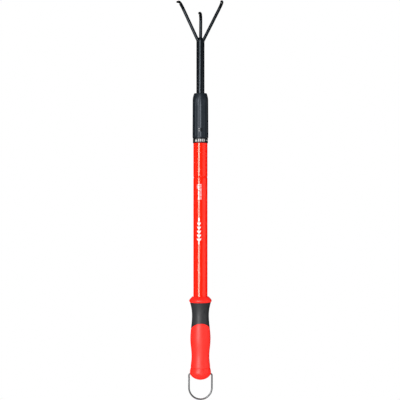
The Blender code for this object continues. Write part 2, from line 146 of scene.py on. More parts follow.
def eased(corners):
    """An outline's (radius, height, fillet) corners as points, each corner rounded by its fillet."""
    points = []
    count = len(corners)
    for i, (r, z, fillet) in enumerate(corners):
        here = Vector((r, z))
        before = Vector(corners[i - 1][:2]) - here
        after = Vector(corners[(i + 1) % count][:2]) - here
        if not fillet or not before.length or not after.length:
            points.append((r, z))
            continue
        cut = min(fillet, before.length * 0.45, after.length * 0.45)
        start = here + before.normalized() * cut
        end = here + after.normalized() * cut
        for j in range(FILLET_STEPS + 1):
            t = j / FILLET_STEPS
            point = start * (1 - t) ** 2 + here * 2 * t * (1 - t) + end * t**2
            points.append((point.x, point.y))
    return points


def turned(name, outline, surface, steps=FINE):
    """A turned piece from (radius, height) points. It is solid if they start and end on the axis."""
    solid = outline[0][0] == 0 and outline[-1][0] == 0
    rings = [circle(r, z, steps) for r, z in outline]
    return stacked(name, rings, surface, loop=not solid)


def cut(thing, cutters):
    """Cuts helper bodies from a piece and removes them."""
    for cutter in cutters:
        change = thing.modifiers.new(cutter.name, "BOOLEAN")
        change.operation = "DIFFERENCE"
        change.solver = "EXACT"
        change.object = cutter
    bpy.context.view_layer.update()
    graph = bpy.context.evaluated_depsgraph_get()
    mesh = bpy.data.meshes.new_from_object(thing.evaluated_get(graph))
    thing.modifiers.clear()
    thing.data = mesh
    mesh.shade_smooth()
    mesh.set_sharp_from_angle(angle=math.radians(38))
    for cutter in cutters:
        bpy.data.objects.remove(cutter)


def rod_between(name, start, end, radius, steps=32):
    """A plain cylinder between two points, used as a cutter."""
    start, end = Vector(start), Vector(end)
    turn = Vector((0, 0, 1)).rotation_difference((end - start).normalized()).to_matrix()
    rings = []
    for place in (start, end):
        rings.append([turn @ Vector(point) + place for point in circle(radius, 0, steps)])
    return stacked(name, [[start], *rings, [end]], None)


def swept(name, path, radii, surface, sides=28, rounded_ends=True, rough=0.0, closed=False):
    """A round bar along a path. rough, in millimetres, makes its surface uneven."""
    path = [Vector(point) for point in path]
    count = len(path)
    rings = []
    side = None
    for i, place in enumerate(path):
        before = path[i - 1] if i or closed else path[0]
        after = path[(i + 1) % count] if i < count - 1 or closed else path[-1]
        way = (after - before).normalized()
        if side is None:
            side = way.orthogonal().normalized()
        side = (side - way * side.dot(way)).normalized()
        other = way.cross(side)
        ring = []
        for j in range(sides):
            turn = 2 * math.pi * j / sides
            out = side * math.cos(turn) + other * math.sin(turn)
            swell = rough * noise.noise(place * 0.9 + out * 2.0) if rough else 0
            ring.append(place + out * (radii[i] + swell))
        rings.append(ring)
    if closed:
        return stacked(name, rings, surface, loop=True, sharp=60)
    if rounded_ends:
        for end, inner in ((0, 1), (-1, -2)):
            way = (path[end] - path[inner]).normalized()
            domes = []
            for lift in (0.5, 0.8, 0.95):
                shrink = math.sqrt(1 - lift**2)
                middle = path[end] + way * radii[end] * lift
                domes.append([middle + (point - path[end]) * shrink for point in rings[end]])
            domes.append([path[end] + way * radii[end]])
            rings = rings + domes if end else list(reversed(domes)) + rings
    else:
        rings = [[path[0]], *rings, [path[-1]]]
    return stacked(name, rings, surface, sharp=60)


def rounded_path(corners, radii, step=6.0):
    """Points along a bent rod: straight runs between the corners, with an arc at each bend."""
    path = [Vector(corners[0])]
    for before, corner, after, radius in zip(corners, corners[1:], corners[2:], radii):
        way_in = (Vector(corner) - Vector(before)).normalized()
        way_out = (Vector(after) - Vector(corner)).normalized()
        angle = way_in.angle(way_out)
        start = Vector(corner) - way_in * radius * math.tan(angle / 2)
        inward = (way_out - way_in * way_in.dot(way_out)).normalized()
        count = max(2, math.ceil(math.degrees(angle) / step))
        for i in range(count + 1):
            turn = angle * i / count
            along = way_in * math.sin(turn)
            path.append(start + (along + inward * (1 - math.cos(turn))) * radius)
    path.append(Vector(corners[-1]))
    return path


def divided(path, longest=4.0):
    """The same path with points no further apart than longest."""
    points = [path[0]]
    for a, b in zip(path, path[1:]):
        count = max(1, math.ceil((b - a).length / longest))
        points += [a.lerp(b, i / count) for i in range(1, count + 1)]
    return points


def spread(first, last, count):
    """Evenly spaced values from first to last, both among them."""
    return [first + (last - first) * i / (count - 1) for i in range(count)]


def wrapped(name, mesh, radius, turn, height, surface):
    """Lays a flat print, drawn in millimetres with its depth along Z, round the axis of the tool."""
    form = bmesh.new()
    form.from_mesh(mesh)
    low = min(vertex.co.x for vertex in form.verts)
    high = max(vertex.co.x for vertex in form.verts)
    across = low + PRINT_STEP
    while across < high:
        everything = form.verts[:] + form.edges[:] + form.faces[:]
        bmesh.ops.bisect_plane(form, geom=everything, plane_co=(across, 0, 0), plane_no=(1, 0, 0))
        across += PRINT_STEP
    for vertex in form.verts:
        x, y, depth = vertex.co
        angle = math.radians(turn) + x / radius
        out = radius + depth
        vertex.co = Vector((out * math.sin(angle), -out * math.cos(angle), y + height)) * MM
    bmesh.ops.triangulate(form, faces=form.faces)
    flat = bpy.data.meshes.new(name)
    form.to_mesh(flat)
    form.free()
    return finished(name, flat, surface, sharp=30)


def drawn(outlines, thick=0.08):
    """A thin flat mesh, in millimetres, that fills closed outlines."""
    curve = bpy.data.curves.new("print", "CURVE")
    curve.dimensions = "2D"
    curve.fill_mode = "BOTH"
    curve.extrude = thick / 2
    for line in outlines:
        spline = curve.splines.new("POLY")
        spline.points.add(len(line) - 1)
        for point, (x, y) in zip(spline.points, line):
            point.co = (x, y, 0, 1)
        spline.use_cyclic_u = True
    return flattened(curve)


def flattened(curve):
    """A curve's mesh. The curve's own object is removed."""
    thing = new_object("print", curve)
    bpy.context.view_layer.update()
    graph = bpy.context.evaluated_depsgraph_get()
    mesh = bpy.data.meshes.new_from_object(thing.evaluated_get(graph))
    bpy.data.objects.remove(thing)
    return mesh


# ---------------------------------------------------------------- finishes

class Finish:
    """A procedural material: a Principled shader with a grain, a tint and a roughness of its own."""

    def __init__(self, name, colour, roughness, metallic=0.0):
        self.surface = bpy.data.materials.new(name)
        self.surface.use_nodes = True
        self.tree = self.surface.node_tree
        self.shader = self.tree.nodes["Principled BSDF"]
        self.shader.inputs["Metallic"].default_value = metallic
        self.shader.inputs["Base Color"].default_value = (*colour, 1)
        self.shader.inputs["Roughness"].default_value = roughness
        self.place = self.tree.nodes.new("ShaderNodeTexCoord").outputs["Object"]
        self.normal = None

    def node(self, kind):
        return self.tree.nodes.new(kind)

    def link(self, start, end):
        self.tree.links.new(start, end)

    def noise(self, scale, detail, stretch=None):
        """A cloudy pattern. stretch draws it out along the axes."""
        place = self.place
        if stretch:
            mapping = self.node("ShaderNodeMapping")
            mapping.inputs["Scale"].default_value = stretch
            self.link(place, mapping.inputs["Vector"])
            place = mapping.outputs["Vector"]
        grain = self.node("ShaderNodeTexNoise")
        grain.inputs["Scale"].default_value = scale
        grain.inputs["Detail"].default_value = detail
        grain.inputs["Roughness"].default_value = 0.55
        self.link(place, grain.inputs["Vector"])
        return grain.outputs["Fac"]

    def cells(self, scale):
        """A pattern of small rounded pits, like a spark-eroded mould's."""
        grain = self.node("ShaderNodeTexVoronoi")
        grain.inputs["Scale"].default_value = scale
        self.link(self.place, grain.inputs["Vector"])
        return grain.outputs["Distance"]

    def ramp(self, value, low, high, from_low=0.3, from_high=0.7):
        """Maps a pattern's range onto another one."""
        mapped = self.node("ShaderNodeMapRange")
        mapped.inputs["From Min"].default_value = from_low
        mapped.inputs["From Max"].default_value = from_high
        mapped.inputs["To Min"].default_value = low
        mapped.inputs["To Max"].default_value = high
        self.link(value, mapped.inputs["Value"])
        return mapped.outputs["Result"]

    def bump(self, height, depth_mm):
        """Adds relief: depth_mm is how far the pattern's whole range rises."""
        relief = self.node("ShaderNodeBump")
        relief.inputs["Strength"].default_value = 1.0
        relief.inputs["Distance"].default_value = depth_mm * MM
        self.link(height, relief.inputs["Height"])
        if self.normal:
            self.link(self.normal, relief.inputs["Normal"])
        self.normal = relief.outputs["Normal"]
        self.link(self.normal, self.shader.inputs["Normal"])
        return self

    def vary_roughness(self, pattern, low, high):
        self.link(self.ramp(pattern, low, high), self.shader.inputs["Roughness"])
        return self

    def tint(self, pattern, other, share, from_low=0.3, from_high=0.7):
        """Mixes up to a share of another colour in where the pattern is high."""
        mix = self.node("ShaderNodeMix")
        mix.data_type = "RGBA"
        # A mix node repeats its sockets for each kind of data: these are the colour's.
        factor, under, over, result = mix.inputs[0], mix.inputs[6], mix.inputs[7], mix.outputs[2]
        socket = self.shader.inputs["Base Color"]
        if socket.is_linked:
            self.link(socket.links[0].from_socket, under)
        else:
            under.default_value = socket.default_value[:]
        over.default_value = (*other, 1)
        self.link(self.ramp(pattern, 0, share, from_low, from_high), factor)
        self.link(result, socket)
        return self

    def edges(self, other, share, low=0.52, high=0.6):
        """Wear: another colour on raised edges, broken up by grain."""
        shape = self.node("ShaderNodeNewGeometry").outputs["Pointiness"]
        broken = self.node("ShaderNodeMath")
        broken.operation = "MULTIPLY"
        self.link(self.ramp(shape, 0, 1, low, high), broken.inputs[0])
        self.link(self.ramp(self.noise(900, 4), 0.2, 1.0), broken.inputs[1])
        return self.tint(broken.outputs[0], other, share, 0, 1)

    def set(self, name, value):
        self.shader.inputs[name].default_value = value
        return self


def red_enamel():
    finish = Finish("red_enamel", (0.90, 0.0088, 0.0014), 0.12)
    finish.vary_roughness(finish.noise(90, 4), 0.115, 0.128)
    finish.tint(finish.noise(35, 3), (0.86, 0.0074, 0.0012), 0.6)
    finish.bump(finish.noise(420, 2), 0.0007)
    return finish.set("Specular Tint", (1, 0.98, 0.8, 1)).surface


def black_enamel():
    finish = Finish("black_enamel", (0.0032, 0.0042, 0.0054), 0.21)
    finish.vary_roughness(finish.noise(90, 4), 0.205, 0.22)
    finish.tint(finish.noise(120, 5), (0.0044, 0.0056, 0.007), 0.8)
    finish.bump(finish.noise(700, 3), 0.0004)
    finish.edges((0.02, 0.022, 0.025), 0.3, 0.56, 0.66)
    finish.set("Specular Tint", (0.76, 0.89, 1, 1))
    return finish.set("Specular IOR Level", 0.38).surface


def rod_enamel():
    finish = Finish("rod_enamel", (0.0028, 0.0037, 0.0048), 0.24)
    finish.vary_roughness(finish.noise(240, 4), 0.21, 0.27)
    finish.tint(finish.noise(120, 5), (0.0042, 0.0053, 0.0066), 0.8)
    finish.bump(finish.noise(500, 3), 0.0008)
    finish.edges((0.02, 0.022, 0.025), 0.3, 0.56, 0.66)
    finish.set("Specular Tint", (0.76, 0.89, 1, 1))
    return finish.set("Specular IOR Level", 0.22).surface


def nut_nylon():
    finish = Finish("nut_nylon", (0.0060, 0.0092, 0.0125), 0.4)
    finish.vary_roughness(finish.noise(300, 4), 0.37, 0.44)
    finish.tint(finish.noise(160, 5), (0.0085, 0.0120, 0.0158), 0.8)
    finish.bump(finish.cells(2600), 0.008)
    finish.bump(finish.noise(900, 3), 0.006)
    finish.edges((0.03, 0.034, 0.04), 0.5)
    finish.set("Specular Tint", (0.82, 0.89, 1, 1))
    return finish.set("Specular IOR Level", 0.4).surface


def polished_nylon():
    finish = Finish("polished_nylon", (0.0060, 0.0092, 0.0125), 0.17)
    finish.vary_roughness(finish.noise(300, 4), 0.15, 0.2)
    finish.tint(finish.noise(160, 5), (0.0085, 0.0120, 0.0158), 0.8)
    finish.bump(finish.noise(900, 3), 0.002)
    return finish.surface


def band_black():
    finish = Finish("band_black", (0.0035, 0.0045, 0.006), 0.35)
    finish.vary_roughness(finish.noise(260, 4), 0.3, 0.42)
    finish.tint(finish.noise(200, 4), (0.006, 0.007, 0.009), 0.7)
    finish.bump(finish.noise(1100, 3), 0.004)
    return finish.set("Specular IOR Level", 0.25).surface


def black_nylon():
    finish = Finish("black_nylon", (0.0075, 0.009, 0.011), 0.4)
    finish.vary_roughness(finish.noise(260, 4), 0.36, 0.48)
    finish.tint(finish.noise(200, 4), (0.011, 0.013, 0.0155), 0.7)
    finish.bump(finish.noise(1100, 3), 0.006)
    return finish.set("Specular IOR Level", 0.35).surface


def white_nylon():
    finish = Finish("white_nylon", (0.74, 0.72, 0.66), 0.45)
    finish.vary_roughness(finish.noise(300, 4), 0.4, 0.55)
    finish.tint(finish.noise(120, 4), (0.66, 0.63, 0.55), 0.6)
    finish.bump(finish.noise(900, 3), 0.01)
    return finish.surface


def red_moulding():
    finish = Finish("red_moulding", (0.92, 0.0090, 0.0022), 0.42)
    finish.vary_roughness(finish.noise(260, 4), 0.36, 0.45)
    finish.tint(finish.noise(60, 4), (0.86, 0.0078, 0.0018), 0.6)
    finish.bump(finish.noise(1200, 3), 0.006)
    return finish.set("Specular IOR Level", 0.4).surface


def red_skin():
    finish = Finish("red_skin", (0.93, 0.0098, 0.0030), 0.46)
    finish.vary_roughness(finish.noise(300, 4), 0.4, 0.5)
    finish.tint(finish.noise(70, 4), (0.87, 0.0083, 0.0025), 0.6)
    finish.bump(finish.cells(2200), 0.008)
    finish.bump(finish.noise(700, 4), 0.006)
    return finish.set("Specular IOR Level", 0.4).surface


def black_skin():
    finish = Finish("black_skin", (0.0175, 0.018, 0.0195), 0.46)
    finish.vary_roughness(finish.noise(300, 4), 0.42, 0.54)
    finish.tint(finish.noise(110, 5), (0.023, 0.0235, 0.0255), 0.7)
    finish.bump(finish.cells(2200), 0.01)
    finish.bump(finish.noise(700, 4), 0.008)
    return finish.set("Specular IOR Level", 0.35).surface


def black_seal():
    finish = Finish("black_seal", (0.011, 0.011, 0.012), 0.6)
    finish.vary_roughness(finish.noise(400, 4), 0.52, 0.7)
    finish.tint(finish.noise(300, 4), (0.018, 0.018, 0.019), 0.7)
    finish.bump(finish.noise(1400, 3), 0.01)
    return finish.surface


def bright_wire():
    finish = Finish("bright_wire", (0.18, 0.182, 0.185), 0.34, 1.0)
    finish.vary_roughness(finish.noise(500, 4, stretch=(1, 1, 0.12)), 0.28, 0.45)
    finish.tint(finish.noise(260, 5), (0.12, 0.122, 0.125), 0.8)
    finish.bump(finish.noise(1500, 3, stretch=(1, 1, 0.1)), 0.006)
    return finish.surface


def dark_pin():
    finish = Finish("dark_pin", (0.05, 0.05, 0.055), 0.4, 0.8)
    finish.vary_roughness(finish.noise(900, 4), 0.3, 0.5)
    finish.tint(finish.noise(700, 4), (0.025, 0.025, 0.027), 0.8)
    finish.bump(finish.noise(2400, 3), 0.01)
    return finish.surface


def ink(name, shade, worn=1.0):
    """Print: worn below 1 lets the red under it through."""
    finish = Finish(name, (shade, shade * 1.01 * worn, shade * worn), 0.4)
    finish.vary_roughness(finish.noise(500, 4), 0.34, 0.5)
    finish.tint(finish.noise(900, 4), (shade * 0.85, shade * 0.8 * worn, shade * 0.8 * worn), 0.7)
    finish.bump(finish.noise(1800, 3), 0.006)
    return finish.surface


def pale_floor():
    finish = Finish("pale_floor", (0.8, 0.8, 0.8), 0.85)
    finish.vary_roughness(finish.noise(3, 3), 0.8, 0.95)
    finish.tint(finish.noise(1.2, 3), (0.77, 0.77, 0.775), 0.5)
    finish.set("Emission Color", (1, 1, 1, 1))
    return finish.set("Emission Strength", 0.2).surface


RED_ENAMEL = red_enamel()
BLACK_ENAMEL = black_enamel()
ROD_ENAMEL = rod_enamel()
NUT_NYLON = nut_nylon()
BLACK_NYLON = black_nylon()
POLISHED_NYLON = polished_nylon()
WHITE_NYLON = white_nylon()
RED_MOULDING = red_moulding()
RED_SKIN = red_skin()
BLACK_SKIN = black_skin()
BLACK_SEAL = black_seal()
BRIGHT_WIRE = bright_wire()
DARK_PIN = dark_pin()
WHITE_INK = ink("white_ink", 0.66)
WORN_INK = ink("worn_ink", 0.85, 0.4)
BAND_INK = ink("band_ink", 0.37)
BAND_BLACK = band_black()

NODE_FINISHES = {
    "lock_collet": BLACK_NYLON,
    "grip_pin": DARK_PIN,
    "tube_end_plug": BLACK_NYLON,
    "closing_buffer": BLACK_SEAL,
    "guide_bush": WHITE_NYLON,
    "tail_plug": BLACK_NYLON,
    "tail_pin": BRIGHT_WIRE,
    "compression_ring": WHITE_NYLON,
    "wiper_ring": BLACK_SEAL,
}


def attach(piece, body, slot, *nodes):
    """The piece rides on a body and stands for CAD nodes, which are hidden. slot, a record's material
    slot, is not used.
    """
    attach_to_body(piece, body)
    if nodes:
        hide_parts(*nodes)
    return piece


# ---------------------------------------------------------------- handle

def outer_tube():
    """The enamelled tube with its rolled groove."""
    lip = 0.25
    groove = []
    for share in spread(1, -1, 17):
        sink = CRIMP_DEPTH * (1 + math.cos(math.pi * share)) / 2
        groove.append((sink, CRIMP_HEIGHT + CRIMP_HALF * share))
    outline = [(TUBE_BORE, TUBE_TOP), (TUBE_R - lip, TUBE_TOP), (TUBE_R, TUBE_TOP - lip)]
    outline += [(TUBE_R, height) for height in spread(TUBE_TOP - 8, CRIMP_HEIGHT + 4, 8)]
    outline += [(TUBE_R - sink, height) for sink, height in groove]
    outline += [(TUBE_R, height) for height in spread(CRIMP_HEIGHT - 4, TUBE_BOTTOM + lip, 32)]
    outline += [(TUBE_R - lip, TUBE_BOTTOM), (TUBE_BORE, TUBE_BOTTOM)]
    outline += [(TUBE_BORE - sink, height) for sink, height in reversed(groove)]
    tube = turned("enamelled_tube", outline, RED_ENAMEL)
    attach(tube, "handle", "red_paint", "outer_tube")


# The band's print: its height, and its two parts' places round the band in degrees.
SIGN_HEIGHT = 316.8
SIGNS_TURN = -4.5
ARROW_TURN = 47.0
PRINT_LIFT = 0.01


def padlock(x):
    """An open padlock's outline about x: one leg of its shackle stands clear of its body."""
    over = [(x + 1.3 * math.cos(turn), 0.8 + 1.3 * math.sin(turn)) for turn in spread(0, math.pi, 9)]
    under = [(x + 0.6 * math.cos(turn), 0.8 + 0.6 * math.sin(turn)) for turn in spread(math.pi, 0, 9)]
    body = [(x - 1.3, 0.1), (x - 2, 0.1), (x - 2, -2.1), (x + 2, -2.1), (x + 2, 0.1), (x - 0.6, 0.1)]
    return over + body + under + [(x + 0.6, 0.5), (x + 1.3, 0.5)]


def chevron(x):
    """An arrow head's outline from x, which points the way the nut turns to let go."""
    half, thick, lean = 2.1, 1.7, 1.2
    ahead = [(x, -half), (x + thick, -half), (x + thick + lean, 0)]
    return ahead + [(x + thick, half), (x, half), (x + lean, 0)]


def marking_band():
    """The black sleeve under the nut, printed with the way to turn it."""
    bore = TUBE_R + 0.2
    corners = [
        (BAND_R, BAND_TOP, 0.35),
        (BAND_R, BAND_BOTTOM, 0.35),
        (bore, BAND_BOTTOM, 0.1),
        (bore, BAND_TOP, 0.1),
    ]
    band = turned("printed_band", eased(corners), BAND_BLACK)
    attach(band, "handle", "printed_nylon", "marking_band")
    row = [padlock(-6.4)] + [chevron(x) for x in (-3.4, -0.4, 2.6, 5.6)]
    arrow = [(0, -0.45), (6.0, -0.45), (6.0, -1.7), (9.2, 0), (6.0, 1.7), (6.0, 0.45), (0, 0.45)]
    for name, outlines, turn in (("band_signs", row, SIGNS_TURN), ("band_arrow", [arrow], ARROW_TURN)):
        print_r = BAND_R + PRINT_LIFT
        piece = wrapped(name, drawn(outlines), print_r, turn, SIGN_HEIGHT, BAND_INK)
        attach(piece, "handle", "printed_nylon")


# ---------------------------------------------------------------- grip

# The grip's moulded outline.
BELLY_R = 16.15
NECK_HEIGHT = 36.8
NECK_R = 13.45
NECK_TOP = 57.7
NECK_TOP_R = 16.8
FLANGE_BOTTOM = 58.0
FLANGE_HEIGHT = 60.6
FLANGE_CORE_R = 14.35
FLANGE_ROUND = 3.6
WAIST_HEIGHT = -28.8
WAIST_R = 14.2
PALM_BOTTOM = -46.8
PALM_BOTTOM_R = 15.55
END_SHOULDER = ((16.0, -48.4), (16.5, -50.3), (16.82, -52.2))
END_WIDEST = -54.0
END_R = 16.9
END_LENGTH = 12.0
END_FULLNESS = 1.9
SKIN_THICK = 0.8
SKIN_GAP = 0.3
SKIN_LIP = 0.3
PALM_LOW_LIP = 0.12
SKIN_ROWS = 56
SKIN_STEPS = 144
ARCH_HEIGHT = 24.7
ARCH_RISE = 10.3
ARCH_HALF_WIDTH = 15.3
ARCH_TURN = 4.5
PIN_HEIGHT = 43.2
PIN_ROUND = 28.0
PIN_HOLE_R = 1.0
LOOP_HOLE_R = 1.8
LOOP_HOLE_MOUTH_R = 3.4


def between(height, low, low_r, high, high_r):
    """A radius that eases from one height's to another's."""
    share = (height - low) / (high - low)
    return low_r + (high_r - low_r) * (1 - math.cos(math.pi * share)) / 2


def grip_radius(height):
    """The outside of the skins, from the palm's foot up to the guard."""
    if height > NECK_HEIGHT:
        share = (height - NECK_HEIGHT) / (FLANGE_BOTTOM - NECK_HEIGHT)
        return NECK_R + (NECK_TOP_R - NECK_R) * share**2
    if height > 0:
        return between(height, 0, BELLY_R, NECK_HEIGHT, NECK_R)
    if height > WAIST_HEIGHT:
        return between(height, WAIST_HEIGHT, WAIST_R, 0, BELLY_R)
    return between(height, PALM_BOTTOM, PALM_BOTTOM_R, WAIST_HEIGHT, WAIST_R)


def arch_height(turn):
    """Where the two skins meet, at an angle round the grip."""
    turn -= math.radians(ARCH_TURN)
    height = ARCH_HEIGHT - ARCH_RISE * 0.4
    for _ in range(6):
        share = min(1.0, abs(grip_radius(height) * math.sin(turn)) / ARCH_HALF_WIDTH)
        height = ARCH_HEIGHT - ARCH_RISE * (1 - math.sqrt(1 - share**2))
    return height


def edge_profile(lip):
    """A skin's rounded edge as steps along and into it."""
    return [(0.0, SKIN_THICK), (0.0, lip), (0.2 * lip, lip * 0.45), (0.5 * lip, lip * 0.12), (lip, 0.0)]


def skin(name, surface, top, bottom, low_lip=SKIN_LIP):
    """A soft skin between two heights, which may change round the grip. Its edges are rounded."""
    rows = []
    for down, inward in edge_profile(SKIN_LIP):
        rows.append((0, down, inward))
    for share in spread(0, 1, SKIN_ROWS)[1:-1]:
        rows.append((share, 0, 0))
    for down, inward in reversed(edge_profile(low_lip)):
        rows.append((1, -down, inward))
    for share in spread(1, 0, 12)[1:-1]:
        rows.append((share, 0, SKIN_THICK))
    rings = []
    for share, down, inward in rows:
        ring = []
        for i in range(SKIN_STEPS):
            turn = 2 * math.pi * i / SKIN_STEPS
            high, low = top(turn), bottom(turn)
            height = high + (low - high) * share - down
            radius = grip_radius(height) - inward
            ring.append((radius * math.sin(turn), -radius * math.cos(turn), height))
        rings.append(ring)
    return stacked(name, rings, surface, loop=True, sharp=50)


def core_outline():
    """The hard moulding from the floor of its bore, over the guard and down to its round end."""
    bore = TUBE_R + 0.25
    bore_floor = TUBE_BOTTOM - 0.3
    outline = [(0, bore_floor), (bore, bore_floor), (bore, FLANGE_TOP - 0.3)]
    outline += [(bore + 0.3, FLANGE_TOP), (12.6, FLANGE_TOP), (12.95, FLANGE_TOP - 0.1)]
    for angle in spread(45, -46, 15):
        turn = math.radians(angle)
        radius = FLANGE_CORE_R + FLANGE_ROUND * math.cos(turn)
        outline.append((radius, FLANGE_HEIGHT + FLANGE_ROUND * math.sin(turn)))
    for height in spread(FLANGE_BOTTOM - 0.1, PALM_BOTTOM - 0.2, 40):
        outline.append((grip_radius(height) - SKIN_THICK - SKIN_GAP, height))
    outline += [(PALM_BOTTOM_R - 0.1, PALM_BOTTOM - 0.14), (PALM_BOTTOM_R + 0.08, PALM_BOTTOM - 0.22)]
    outline += END_SHOULDER
    for angle in spread(0, 90, 22):
        share = math.sin(math.radians(angle))
        radius = END_R * max(0.0, 1 - share**END_FULLNESS) ** (1 / END_FULLNESS)
        outline.append((radius if angle < 90 else 0, END_WIDEST - END_LENGTH * share))
    return outline


def loop_holes():
    """Cutters for the two side holes that the loop's ends turn in, with their wide mouths."""
    cutters = []
    for side in (-1, 1):
        ends = ((side * 8.3, 0, LOOP_PIVOT), (side * 22, 0, LOOP_PIVOT))
        cutters.append(rod_between("loop_hole", *ends, LOOP_HOLE_R))
        rings = []
        for reach, radius in ((15.0, 0), (15.0, LOOP_HOLE_R), (18.5, LOOP_HOLE_MOUTH_R), (18.5, 0)):
            ring = circle(radius, reach * side, 32)
            rings.append([(z, y, LOOP_PIVOT + x) for x, y, z in ring])
        cutters.append(stacked("hole_mouth", rings, None))
    return cutters


def grip():
    """The hard core with its guard and round end, and the two soft skins over it."""
    core = turned("grip_moulding", core_outline(), RED_MOULDING, steps=128)
    cut(core, loop_holes())
    attach(core, "handle", "red_plastic", "grip_core")
    neck = skin("neck_grip_skin", BLACK_SKIN, lambda turn: NECK_TOP, arch_height)
    turn = math.radians(PIN_ROUND)
    out = Vector((math.sin(turn), -math.cos(turn), 0))
    up = Vector((0, 0, PIN_HEIGHT))
    cut(neck, [rod_between("pin_hole", out * 9 + up, out * 18 + up, PIN_HOLE_R)])
    attach(neck, "handle", "black_rubber", "neck_skin")
    edges = (lambda turn: arch_height(turn) - SKIN_GAP, lambda turn: PALM_BOTTOM)
    palm = skin("palm_grip_skin", RED_SKIN, *edges, PALM_LOW_LIP)
    attach(palm, "handle", "red_rubber", "palm_skin")


# The loop is measured to the middle of its wire.
LOOP_HALF_WIDTH = 18.3
LOOP_BOTTOM = -97.1
LOOP_END = 9.0
LOOP_ELBOW = 2.5
LOOP_WIRE_R = 1.3


def hanging_loop():
    """The wire loop. Its two ends, cut square, turn inwards into the grip's side holes."""
    drop = LOOP_BOTTOM - LOOP_PIVOT
    corners = [(LOOP_END, 0, 0), (LOOP_HALF_WIDTH, 0, 0), (LOOP_HALF_WIDTH, 0, drop)]
    corners += [(-x, y, z) for x, y, z in reversed(corners)]
    bends = (LOOP_ELBOW, LOOP_HALF_WIDTH, LOOP_HALF_WIDTH, LOOP_ELBOW)
    lift = Vector((0, 0, LOOP_PIVOT))
    path = divided([point + lift for point in rounded_path(corners, bends, step=5)], 2.0)
    radii = [LOOP_WIRE_R] * len(path)
    loop = swept("wire_loop", path, radii, BRIGHT_WIRE, sides=24, rounded_ends=False)
    attach(loop, "hanging_loop", "steel_wire", "hanging_loop")


# ---------------------------------------------------------------- lock nut

NUT_FOOT_R = 12.65
NUT_R = 12.45
NUT_TOP_R = 9.95
NUT_SHOULDER = 380.0
NUT_BORE_R = 10.9
NUT_STEPS = 288
PAD_SEAT_R = 12.5
PAD_ROOT = 0.7

# The flutes. A rib's place and half a flute's width are in degrees. From its shoulder up, a flute
# narrows to its tip.
FLUTES = 14
RIB_AT = 7.9
FLUTE_HALF = 8.7
FLUTE_DEPTH = 0.32
FLUTE_SHOULDER = 369.0
FLUTE_TIP = 385.0


def flute(turn, height):
    """How deep the nut's flutes cut at an angle and height. Each ends above in a pointed arch."""
    pitch = 360 / FLUTES
    off = (math.degrees(turn) - RIB_AT - pitch / 2) % pitch
    off = min(off, pitch - off)
    half = FLUTE_HALF
    if height > FLUTE_SHOULDER:
        rise = (height - FLUTE_SHOULDER) / (FLUTE_TIP - FLUTE_SHOULDER)
        half *= max(0.0, 1 - rise**1.7)
    foot = min(1.0, max(0.0, (height - NUT_BOTTOM - 1.2) / 1.6))
    if half <= 0.4 or off >= half or not foot:
        return 0.0
    dip = 1 - (off / half) ** 2
    return FLUTE_DEPTH * min(1.0, 0.35 + half / FLUTE_HALF) * dip**0.8 * foot


def nut_radius(height):
    """The nut's outside between its flutes: a straight foot, a slight taper and a round top."""
    if height < NUT_BOTTOM + 1:
        radius = NUT_FOOT_R - 0.45 * (1 - (height - NUT_BOTTOM)) ** 2
    elif height < NUT_BOTTOM + 12:
        radius = NUT_FOOT_R
    elif height < NUT_SHOULDER:
        share = (height - NUT_BOTTOM - 12) / (NUT_SHOULDER - NUT_BOTTOM - 12)
        radius = NUT_FOOT_R + (NUT_R - NUT_FOOT_R) * share
    else:
        share = (height - NUT_SHOULDER) / (NUT_TOP - NUT_SHOULDER)
        radius = NUT_R - (NUT_R - NUT_TOP_R) * share**2
    return radius - 0.25 * max(0.0, (height - NUT_TOP + 0.4) / 0.4) ** 2


def lock_nut():
    """The fluted nut with its stepped bore, the two marks moulded on its foot, and a dark pad beside
    them that is painted shade.
    """
    heights = [NUT_BOTTOM, NUT_BOTTOM + 0.15, NUT_BOTTOM + 0.5, NUT_BOTTOM + 1.0]
    heights += spread(NUT_BOTTOM + 1.5, 366, 60)
    heights += spread(366.5, NUT_TOP - 0.4, 64)
    heights += [NUT_TOP - 0.2, NUT_TOP - 0.05]
    rings = []
    for height in heights:
        ring = []
        for i in range(NUT_STEPS):
            turn = 2 * math.pi * i / NUT_STEPS
            r = nut_radius(height) - flute(turn, height)
            ring.append((r * math.sin(turn), -r * math.cos(turn), height))
        rings.append(ring)
    inside = [(9.2, NUT_TOP), (7.45, NUT_TOP), (7.15, NUT_TOP - 0.3), (7.15, 386.5), (8.9, 386.5)]
    inside += [(8.9, 382.5), (7.4, 382.5), (7.4, 369.5), (NUT_BORE_R, 369.5)]
    inside += [(NUT_BORE_R, NUT_BOTTOM + 0.3), (NUT_BORE_R + 0.3, NUT_BOTTOM)]
    rings += [circle(r, z, NUT_STEPS) for r, z in inside]
    nut = stacked("fluted_nut", rings, NUT_NYLON, loop=True, sharp=42)
    attach(nut, "nut", "nut_nylon", "lock_nut")
    for number, height in ((1, 335.1), (2, 331.7)):
        raised_pad(f"nut_pad_{number}", -9.0, -13.0, height, 1.65, 0.95, 0.53, POLISHED_NYLON)
    # Painted shade: a dark flat pad in the band's black stands in for the shadow to the right of the
    # two moulded marks.
    raised_pad("nut_painted_shade_pad", 7.6, 9.0, 333.3, 1.65, 2.9, 0.3, BAND_BLACK)


